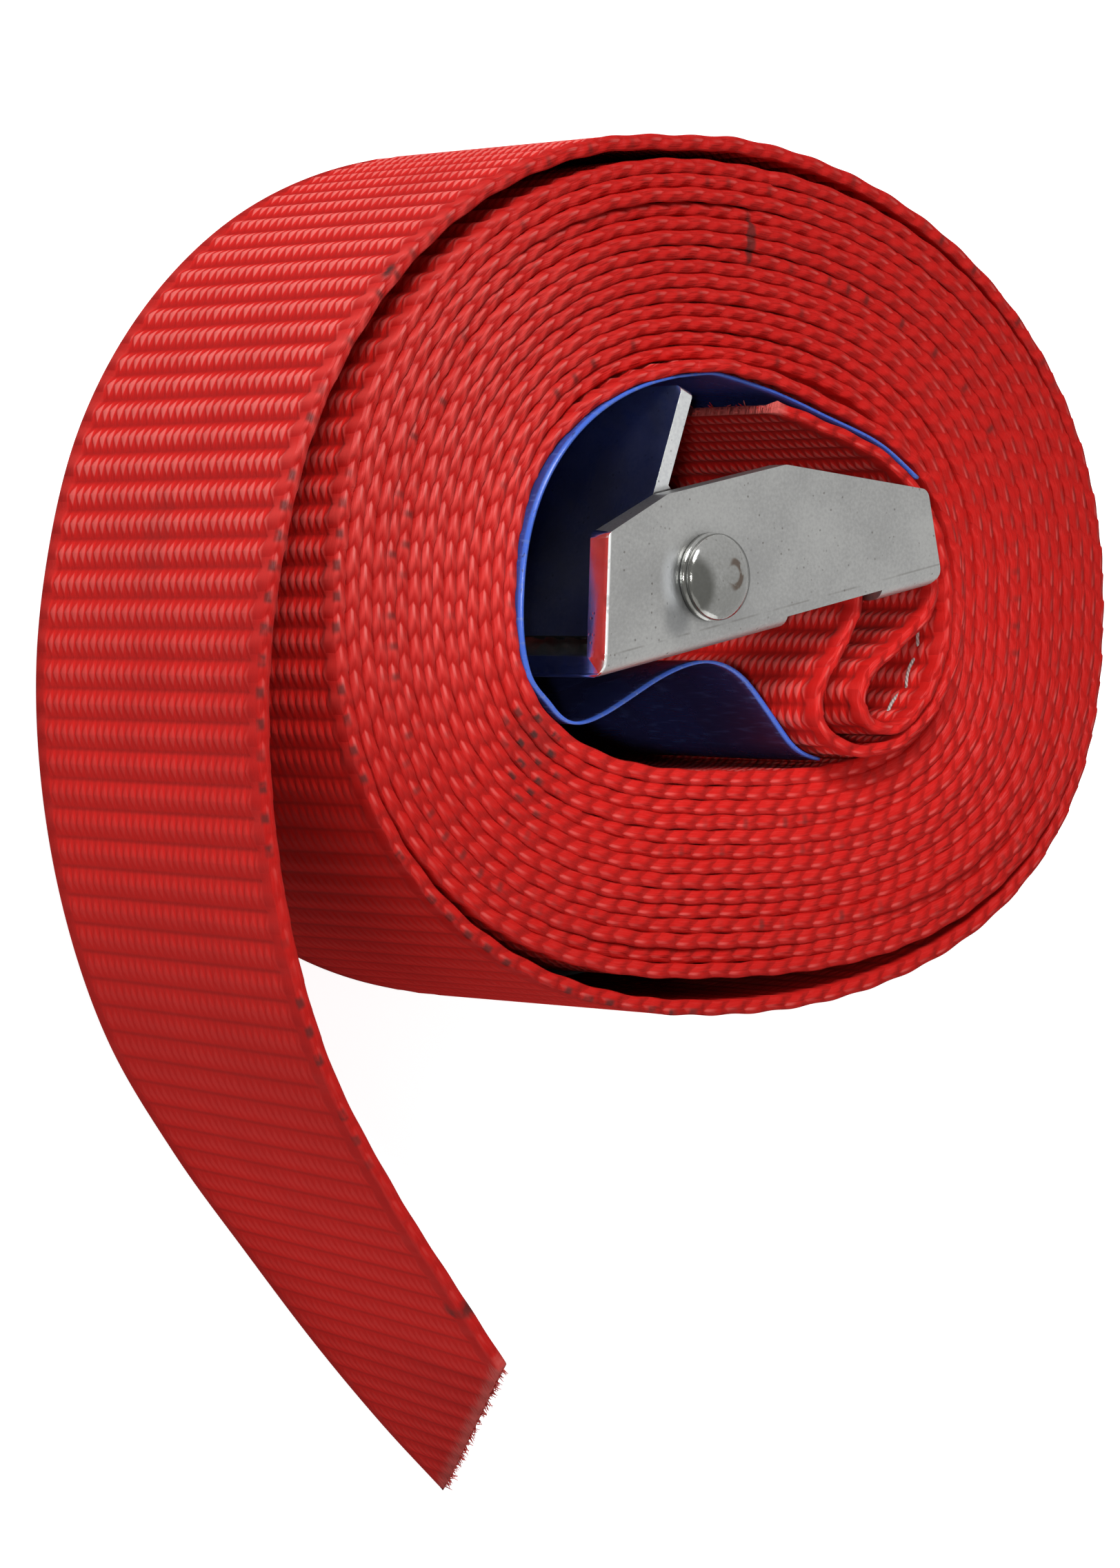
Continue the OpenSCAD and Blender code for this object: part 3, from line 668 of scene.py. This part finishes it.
label_low = LOOP_Z + LABEL_RISE - LABEL_DROP * (1 - (1 - label_rows / label_s[-1]) ** LABEL_EASE)
LABEL_COLUMNS = 24
label_mesh, row, column = grid_mesh("label_strip", len(label_rows) - 1, LABEL_COLUMNS)
over_label = LABEL_W * column / LABEL_COLUMNS
free_part = np.clip((label_rows[row] - FREE_FROM) / FREE_OVER, 0, 1)
ripple = LABEL_RIPPLE * np.sin(label_rows[row] / 3.1 + over_label / 7) * np.cos(over_label / 9) * free_part
spot = label_mid[row] + label_out[row] * ripple[:, None] + face_mm
lay_grid(label_mesh, np.column_stack([spot, label_low[row] + over_label]), "film",
         np.column_stack([label_rows[row], over_label]))
smooth_faces(label_mesh)

FILM_SHADE_BLUE = (0.014, 0.017, 0.07, 1.0)
FILM_DARK = (0.012, 0.009, 0.024, 1.0)
FILM_LIT_BLUE = (0.030, 0.052, 0.26, 1.0)
SCUFF = (0.10, 0.16, 0.42, 1.0)
FILM_RIM_HIGHLIGHT = (0.036, 0.11, 0.54, 1.0)
FILM_SPECK = (0.012, 0.014, 0.03, 1.0)
label_film, tree = new_material("label_film")
film = add_node(tree, "ShaderNodeUVMap", uv_map="film").outputs[0]
film_parts = add_node(tree, "ShaderNodeSeparateXYZ", {0: film})
film_along, film_over = film_parts.outputs[0], film_parts.outputs[1]
film_edge = ramp(tree, film_over, LABEL_W - 1.2, LABEL_W)
cloudy = noise(tree, film, (0.14, 0.2, 1.0), 4.0)
drag = noise(tree, film, (3.0, 0.5, 1.0), 4.0)
# Painted light and shade: the film is lighter where it lies against the wall and darker along the free wave
# below the buckle.
colour = mix_colour(tree, ramp(tree, film_along, 46.0, 60.0), FILM_LIT_BLUE, FILM_SHADE_BLUE)
colour = mix_colour(tree, ramp(tree, cloudy, 0.35, 0.7, 0.0, 0.45), colour, FILM_DARK)
# Painted highlight: a bright blue line along the film's upper edge.
colour = mix_colour(tree, ramp(tree, film_over, LABEL_W - 0.5, LABEL_W - 0.2), colour, FILM_RIM_HIGHLIGHT)
scuffed = product(tree, ramp(tree, drag, 0.52, 0.7), maths(tree, "MULTIPLY_ADD", film_edge, 0.6, 0.12))
colour = mix_colour(tree, scuffed, colour, SCUFF)
specks = noise(tree, film, (1.6, 2.5, 1.0), 5.0)
colour = mix_colour(tree, product(tree, ramp(tree, specks, 0.62, 0.7), film_edge, 0.7), colour, FILM_SPECK)
film_relief = bump(tree, drag, 0.35, 0.06)
satin = add_node(tree, "ShaderNodeBsdfPrincipled",
                 {"Base Color": colour, "Roughness": ramp(tree, cloudy, 0.3, 0.7, 0.2, 0.34),
                  "Normal": film_relief, "Specular IOR Level": 0.4})
add_node(tree, "ShaderNodeOutputMaterial", {"Surface": satin.outputs[0]})
label = place_piece("label_strip", label_mesh, label_film, "strap")
film_thickness = label.modifiers.new("film_thickness", "SOLIDIFY")
film_thickness.thickness = LABEL_T * MM
film_thickness.offset = 0.0
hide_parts("label")


# Seam stitching: four rows of light polyester thread through both layers of the sewn end. On the inner
# face each stitch is a short float that dips into the weave at both ends.
SEAM_FROM, SEAM_TO = 17.0, 38.0
SEAM_ROWS = 4
SEAM_EDGE = 2.5
STITCH = 3.0
THREAD_R = 0.13
STITCH_SHARE, STITCH_GAP = 0.92, 0.04
STITCH_SUNK, STITCH_RISE = 0.45, 0.48
STITCH_SLANT = 0.25


def add_tube(shape, path, radius, sides):
    """A closed tube of even radius along a path in space, in mm on the roll's face."""
    path = np.array(path, float)
    count = len(path) - 1
    ahead = np.gradient(path, axis=0)
    ahead /= np.linalg.norm(ahead, axis=1)[:, None]
    first = np.cross(ahead, [0.0, 0.0, 1.0])
    first /= np.linalg.norm(first, axis=1)[:, None]
    second = np.cross(ahead, first)
    verts = bmesh.ops.create_grid(shape, x_segments=count, y_segments=sides, size=1.0)["verts"]
    for v in verts:
        i = round((v.co.x + 1) / 2 * count)
        turn = 2 * math.pi * round((v.co.y + 1) / 2 * sides) / sides
        out = math.cos(turn) * first[i] + math.sin(turn) * second[i]
        v.co = Vector(path[i] + radius * out) * MM + face_zero.to_3d()
    bmesh.ops.remove_doubles(shape, verts=verts, dist=1e-8)
    rim = [e for e in shape.edges if e.is_boundary]
    bmesh.ops.holes_fill(shape, edges=rim, sides=0)


stitch_mesh = bpy.data.meshes.new("seam_stitches")
shape = bmesh.new()
for seam_row in range(SEAM_ROWS):
    z = LOOP_Z + SEAM_EDGE + seam_row * (STRAP_W - 2 * SEAM_EDGE) / (SEAM_ROWS - 1)
    for start in np.arange(SEAM_FROM, SEAM_TO - STITCH, STITCH):
        share = np.linspace(0, 1, 9)
        at_s = start + STITCH * (STITCH_GAP + STITCH_SHARE * share)
        middle = places_at(at_s, strap_s, strap_path)
        _, outwards = out_of(middle)
        lift = SEWN_HALF - STITCH_SUNK + STITCH_RISE * np.sin(np.pi * share) ** 0.7
        middle = middle + outwards * lift[:, None]
        slope = STITCH_SLANT * (share - 0.5)
        add_tube(shape, np.column_stack([middle, z + slope]), THREAD_R, 8)
bmesh.ops.recalc_face_normals(shape, faces=shape.faces)
keep_shape(shape, stitch_mesh)
seam_thread, tree = new_material("seam_thread")
at = object_place(tree)
twist = add_node(tree, "ShaderNodeTexWave", {"Vector": at, "Scale": 1400.0, "Distortion": 1.5},
                 bands_direction="DIAGONAL").outputs["Fac"]
colour = mix_colour(tree, twist, (0.24, 0.21, 0.20, 1.0), (0.50, 0.46, 0.44, 1.0))
stained = ramp(tree, noise(tree, at, (300.0, 300.0, 300.0)), 0.5, 0.7, 0.0, 0.5)
colour = mix_colour(tree, stained, colour, (0.45, 0.10, 0.09, 1.0))
twist_relief = bump(tree, twist, 0.8, 0.05)
thread = add_node(tree, "ShaderNodeBsdfPrincipled",
                  {"Base Color": colour, "Roughness": 0.5, "Normal": twist_relief,
                   "Specular IOR Level": 0.3})
add_node(tree, "ShaderNodeOutputMaterial", {"Surface": thread.outputs[0]})
stitches = place_piece("seam_stitches", stitch_mesh, seam_thread, "strap")
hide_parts("seam_row_1", "seam_row_2", "seam_row_3", "seam_row_4")


# Buckle frame: a U-shaped stamping of 1.5 mm steel, bent up on both sides and zinc plated. Its cut
# edges keep a fine bright burr, and the plating is satin with small dark pits.
EDGE_STEPS = 3


def softened_copy(node, name, width):
    """A merged copy of a CAD node's mesh whose sharp edges are rounded off."""
    mesh = bpy.data.meshes.new(name)
    shape = bmesh.new()
    shape.from_mesh(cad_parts[node].data)
    bmesh.ops.remove_doubles(shape, verts=shape.verts, dist=2e-6)
    bmesh.ops.dissolve_limit(shape, angle_limit=math.radians(1.5), verts=shape.verts, edges=shape.edges)
    sharp = [e for e in shape.edges
             if len(e.link_faces) == 2 and e.calc_face_angle(0.0) > math.radians(30)]
    bmesh.ops.bevel(shape, geom=sharp, offset=width * MM, offset_type="OFFSET", affect="EDGES",
                    segments=EDGE_STEPS, profile=0.5, material=-1, clamp_overlap=True)
    bmesh.ops.triangulate(shape, faces=[f for f in shape.faces if len(f.verts) > 4])
    keep_shape(shape, mesh)
    mesh.set_sharp_from_angle(angle=math.radians(28))
    return mesh


zinc_group = bpy.data.node_groups.new("zinc_plating", "ShaderNodeTree")
zinc_group.interface.new_socket("Place", in_out="INPUT", socket_type="NodeSocketVector")
for value in ("Tone", "Pits", "Grain"):
    zinc_group.interface.new_socket(value, in_out="OUTPUT", socket_type="NodeSocketFloat")
place = add_node(zinc_group, "NodeGroupInput").outputs[0]
broad = noise(zinc_group, place, (160.0, 160.0, 160.0), 3.0)
grain = noise(zinc_group, place, (4200.0, 4200.0, 4200.0), 4.0)
spread = noise(zinc_group, place, (900.0, 900.0, 900.0), 2.0)
pit_cells = add_node(zinc_group, "ShaderNodeTexVoronoi", {"Vector": place, "Scale": 2600.0})
each_pit = add_node(zinc_group, "ShaderNodeSeparateColor", {0: pit_cells.outputs["Color"]}).outputs[0]
pits = product(zinc_group, fade(zinc_group, pit_cells.outputs["Distance"], 0.12, 0.3),
               ramp(zinc_group, each_pit, 0.72, 0.78), ramp(zinc_group, spread, 0.42, 0.6))
tone = maths(zinc_group, "ADD", product(zinc_group, broad, 0.6), product(zinc_group, grain, 0.4))
add_node(zinc_group, "NodeGroupOutput", {"Tone": tone, "Pits": pits, "Grain": grain})


def plating(tree, at):
    made = add_node(tree, "ShaderNodeGroup", {"Place": at}, node_tree=zinc_group)
    return made.outputs["Tone"], made.outputs["Pits"], made.outputs["Grain"]


TILT = math.radians(12.3)
axle = face_zero.to_3d() + Vector((AXLE_ON_FACE.x * MM, AXLE_ON_FACE.y * MM, 0.0))
frame_mesh = softened_copy("buckle_frame", "buckle_frame_plated", 0.14)
SHEAR_LEAN = 0.2
PLATE_T = 1.5
END_BAND = 0.4
end_foot, end_head = Vector((-11.4, -4.95)), Vector((-9.1, 4.75))
end_run = (end_head - end_foot).normalized()
end_out = Vector((-end_run.y, end_run.x, 0.0))
end_reach = end_out.xy.dot(end_foot) * MM
level_turn = Matrix.Rotation(TILT, 3, "Z")
shape = bmesh.new()
shape.from_mesh(frame_mesh)
plate_top = max(v.co.z for v in shape.verts)
for v in shape.verts:
    if (level_turn @ end_out).dot(v.co - axle) > end_reach - END_BAND * MM:
        v.co += SHEAR_LEAN * min(plate_top - v.co.z, PLATE_T * MM) * (level_turn @ end_out)
shape.to_mesh(frame_mesh)
shape.free()
frame_zinc, tree = new_material("frame_zinc")
at = object_place(tree)
tone, pits, grain = plating(tree, at)
colour = mix_colour(tree, ramp(tree, tone, 0.3, 0.7), (0.27, 0.27, 0.265, 1.0), (0.37, 0.37, 0.36, 1.0))
colour = mix_colour(tree, product(tree, pits, 0.6), colour, (0.09, 0.08, 0.07, 1.0))
seat = add_node(tree, "ShaderNodeMapping", {"Vector": at, "Location": -axle}).outputs[0]
level = add_node(tree, "ShaderNodeVectorRotate", {"Vector": seat, "Angle": -TILT},
                 rotation_type="Z_AXIS").outputs[0]
level_parts = add_node(tree, "ShaderNodeSeparateXYZ", {0: level})
up_plate = product(tree, level_parts.outputs[1], 1000.0)
end_depth = add_node(tree, "ShaderNodeVectorMath", {0: level, 1: end_out},
                     operation="DOT_PRODUCT").outputs["Value"]
plate_height = level_parts.outputs[2]
sheared = ramp(tree, end_depth, end_reach - 0.3 * MM, end_reach - 0.1 * MM)
burr = product(tree, sheared, ramp(tree, plate_height, plate_top - 0.34 * MM, plate_top - 0.2 * MM),
               ramp(tree, noise(tree, at, (800.0, 800.0, 800.0)), 0.36, 0.46))
broken = ramp(tree, noise(tree, at, (500.0, 500.0, 500.0)), 0.4, 0.6)
bend_line = product(tree, fade(tree, gap(tree, up_plate, -3.45), 0.02, 0.1), broken, 0.45)
colour = mix_colour(tree, bend_line, colour, (0.14, 0.13, 0.12, 1.0))
# A darker patch on the plate, left of and below the rivet.
dark_by_rivet = ramp(tree, distance_to(tree, at, (-8.2, -2.9, 29.4), (1.6, 1.7, 3.0)), 0.4, 1.1, 0.5, 0.0)
colour = mix_colour(tree, dark_by_rivet, colour, (0.10, 0.105, 0.11, 1.0))
burnished = fade(tree, distance_to(tree, at, (-8.6, -0.2, 29.4), (1.3, 2.2, 3.0)), 0.3, 1.2)
colour = mix_colour(tree, product(tree, burnished, 0.6), colour, (0.62, 0.64, 0.66, 1.0))
heights = product(tree, maths(tree, "SUBTRACT", product(tree, grain, 0.5), pits),
                  maths(tree, "MULTIPLY_ADD", sheared, -0.8, 1.0))
zinc_relief = bump(tree, heights, 0.5, 0.05)
rough = maths(tree, "MULTIPLY_ADD", burnished, -0.12, ramp(tree, tone, 0.3, 0.7, 0.46, 0.36))
rough = maths(tree, "MULTIPLY_ADD", sheared, -0.26, rough)
inside = fade(tree, plate_height, plate_top - 2.6 * MM, plate_top - 1.6 * MM)
inside = product(tree, inside, maths(tree, "SUBTRACT", 1.0, sheared))
rough = maths(tree, "MULTIPLY_ADD", inside, -0.22, rough)
colour = mix_colour(tree, product(tree, sheared, 0.9), colour, (0.74, 0.74, 0.73, 1.0))
colour = mix_colour(tree, burr, colour, (0.94, 0.94, 0.93, 1.0))
plated = add_node(tree, "ShaderNodeBsdfPrincipled",
                  {"Base Color": colour, "Roughness": rough, "Metallic": 1.0,
                   "Normal": zinc_relief})
add_node(tree, "ShaderNodeOutputMaterial", {"Surface": plated.outputs[0]})


def flat_between_edges(piece):
    """Shades a stamping's broad faces flat, so that only its rounded edges turn the light."""
    weight = piece.modifiers.new("broad_faces", "WEIGHTED_NORMAL")
    weight.keep_sharp = True


buckle_frame = place_piece("buckle_frame_plated", frame_mesh, frame_zinc, "strap")
flat_between_edges(buckle_frame)
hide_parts("buckle_frame")


# Cam lever: a bent zinc-plated stamping with a thumb plate, two ears on the axle and a toothed lower
# edge that bites the strap. Its faces are bright and smooth, with fine rolling lines.
lever_mesh = softened_copy("cam_lever", "cam_lever_plated", 0.13)
lever_zinc, tree = new_material("lever_zinc")
at = object_place(tree)
tone, pits, grain = plating(tree, at)
rolling = noise(tree, at, (300.0, 300.0, 5200.0), 2.0)
colour = mix_colour(tree, ramp(tree, tone, 0.3, 0.7), (0.50, 0.51, 0.52, 1.0), (0.62, 0.63, 0.63, 1.0))
colour = mix_colour(tree, product(tree, pits, 0.5), colour, (0.10, 0.10, 0.10, 1.0))
heights = maths(tree, "ADD", product(tree, rolling, 0.4), product(tree, grain, 0.3))
lever_relief = bump(tree, heights, 0.25, 0.03)
bright = add_node(tree, "ShaderNodeBsdfPrincipled",
                  {"Base Color": colour, "Roughness": ramp(tree, tone, 0.3, 0.7, 0.14, 0.24),
                   "Metallic": 0.992, "Normal": lever_relief})
add_node(tree, "ShaderNodeOutputMaterial", {"Surface": bright.outputs[0]})
cam_lever = place_piece("cam_lever_plated", lever_mesh, lever_zinc, "lever")
flat_between_edges(cam_lever)
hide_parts("cam_lever")


# Axle rivet: a turned steel pin through both side plates and the lever's ears. The upper head is a low
# dome on a stepped rim with a shallow set mark in its middle; the lower end is riveted over flat.
AXLE_R = 1.5
HEAD_R = 3.1
HEAD_H = 1.7
SPIN_STEPS = 72
head_foot = rivet_high.z / MM - HEAD_H
rivet_foot = rivet_low.z / MM
rivet_profile = [
    (0.0, rivet_foot), (2.3, rivet_foot), (2.65, rivet_foot + 0.12), (2.8, rivet_foot + 0.4),
    (2.72, rivet_foot + 0.68), (AXLE_R, rivet_foot + 0.7), (AXLE_R, head_foot), (2.95, head_foot),
    (HEAD_R, head_foot + 0.12), (HEAD_R, head_foot + 0.32), (2.96, head_foot + 0.42),
    (2.93, head_foot + 0.52), (3.02, head_foot + 0.62), (3.03, head_foot + 0.82),
    (2.93, head_foot + 1.0), (2.6, head_foot + 1.2), (2.1, head_foot + 1.4), (1.5, head_foot + 1.55),
    (0.95, head_foot + 1.63), (0.7, head_foot + 1.63), (0.55, head_foot + 1.55), (0.0, head_foot + 1.5)]
rivet_mesh = bpy.data.meshes.new("axle_rivet_turned")
shape = bmesh.new()
corners = [shape.verts.new(axle + Vector((r * MM, 0.0, z * MM))) for r, z in rivet_profile]
line = [shape.edges.new(pair) for pair in zip(corners, corners[1:])]
bmesh.ops.spin(shape, geom=corners + line, cent=axle, axis=(0.0, 0.0, 1.0), angle=2 * math.pi,
               steps=SPIN_STEPS, use_merge=True)
bmesh.ops.remove_doubles(shape, verts=shape.verts, dist=1e-7)
bmesh.ops.recalc_face_normals(shape, faces=shape.faces)
keep_shape(shape, rivet_mesh)
rivet_mesh.set_sharp_from_angle(angle=math.radians(50))
rivet_steel, tree = new_material("rivet_steel")
at = object_place(tree)
tone, pits, grain = plating(tree, at)
colour = mix_colour(tree, ramp(tree, tone, 0.3, 0.7), (0.21, 0.21, 0.20, 1.0), (0.32, 0.32, 0.31, 1.0))
colour = mix_colour(tree, product(tree, pits, 0.5), colour, (0.10, 0.09, 0.08, 1.0))
from_mark = distance_to(tree, at, (-4.35, 0.2, 31.0), (1.0, 1.0, 40.0))
ring = fade(tree, gap(tree, from_mark, 0.9), 0.15, 0.36)
one_side = fade(tree, distance_to(tree, at, (-3.7, 0.3, 31.0), (1.2, 1.6, 40.0)), 0.7, 1.05)
crumbs = noise(tree, at, (1300.0, 1300.0, 1300.0), 4.0)
residue = product(tree, ring, one_side, ramp(tree, crumbs, 0.36, 0.52))
# Painted reflection: the left part of the dome is painted dark, as a dark image in the mirror-like head.
dark_reflection = ramp(tree, distance_to(tree, at, (-8.1, -1.0, 31.0), (2.2, 2.8, 40.0)), 0.7, 1.1, 0.8, 0.0)
colour = mix_colour(tree, dark_reflection, colour, (0.07, 0.07, 0.062, 1.0))
colour = mix_colour(tree, product(tree, residue, 0.85), colour, (0.085, 0.058, 0.042, 1.0))
rivet_relief = bump(tree, grain, 0.3, 0.03)
turned = add_node(tree, "ShaderNodeBsdfPrincipled",
                  {"Base Color": colour, "Roughness": maths(tree, "MULTIPLY_ADD", residue, 0.45, 0.14),
                   "Metallic": 1.0, "Normal": rivet_relief})
add_node(tree, "ShaderNodeOutputMaterial", {"Surface": turned.outputs[0]})
axle_rivet = place_piece("axle_rivet_turned", rivet_mesh, rivet_steel, "strap")
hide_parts("axle_rivet")


# Cam spring: a torsion spring of bare wire, coiled on the axle. One leg lies on the frame's base. The
# other lies behind the thumb plate and turns with it, and its root slides in the coil's last turn.
COIL_R = 2.0
COIL_TURNS = 5
COIL_PITCH = 1.1
WIRE_R = 0.3
LEG_R = 0.27
LEG_ROOT = 6
BUCKLE_MID_Z = 15.05
COIL_H = COIL_TURNS * COIL_PITCH
coil_low = BUCKLE_MID_Z - COIL_H / 2
coil_share = np.linspace(0, 1, 121)
coil_turn = np.radians(270 - 360 * (COIL_TURNS - 0.75) * coil_share)
coil_high = coil_low + COIL_H
coil_rise = np.minimum(coil_share / coil_share[-LEG_ROOT], 1.0)
coil = np.column_stack([COIL_R * np.cos(coil_turn), COIL_R * np.sin(coil_turn),
                        coil_low + COIL_H * coil_rise])


def wire_mesh(name, route, radius):
    """A bent wire along a route that is given from the axle, with X along the buckle."""
    mesh = bpy.data.meshes.new(name)
    x, y, z = np.array(route, float).T
    path = np.column_stack([x * math.cos(TILT) - y * math.sin(TILT) + AXLE_ON_FACE.x,
                            x * math.sin(TILT) + y * math.cos(TILT) + AXLE_ON_FACE.y, z])
    shape = bmesh.new()
    add_tube(shape, path, radius, 12)
    bmesh.ops.recalc_face_normals(shape, faces=shape.faces)
    keep_shape(shape, mesh)
    return mesh


low_leg = [(5.2, -2.9, coil_low), (1.6, -2.3, coil_low)]
high_leg = [(-2.3, 2.6, coil_high), (-1.1, 5.4, coil_high)]
spring_mesh = wire_mesh("cam_spring_wire", [*low_leg, *coil], WIRE_R)
leg_mesh = wire_mesh("cam_spring_leg", [*coil[-LEG_ROOT:], *high_leg], LEG_R)
spring_wire, tree = new_material("spring_wire")
at = object_place(tree)
drawn = noise(tree, at, (900.0, 900.0, 2600.0), 4.0)
colour = mix_colour(tree, ramp(tree, drawn, 0.35, 0.7), (0.20, 0.20, 0.21, 1.0), (0.42, 0.42, 0.43, 1.0))
wire_relief = bump(tree, drawn, 0.3, 0.03)
wire = add_node(tree, "ShaderNodeBsdfPrincipled",
                {"Base Color": colour, "Roughness": ramp(tree, drawn, 0.3, 0.7, 0.25, 0.4),
                 "Metallic": 1.0, "Normal": wire_relief})
add_node(tree, "ShaderNodeOutputMaterial", {"Surface": wire.outputs[0]})
cam_spring = place_piece("cam_spring_wire", spring_mesh, spring_wire, "strap")
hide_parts("cam_spring")
place_piece("cam_spring_leg", leg_mesh, spring_wire, "lever")
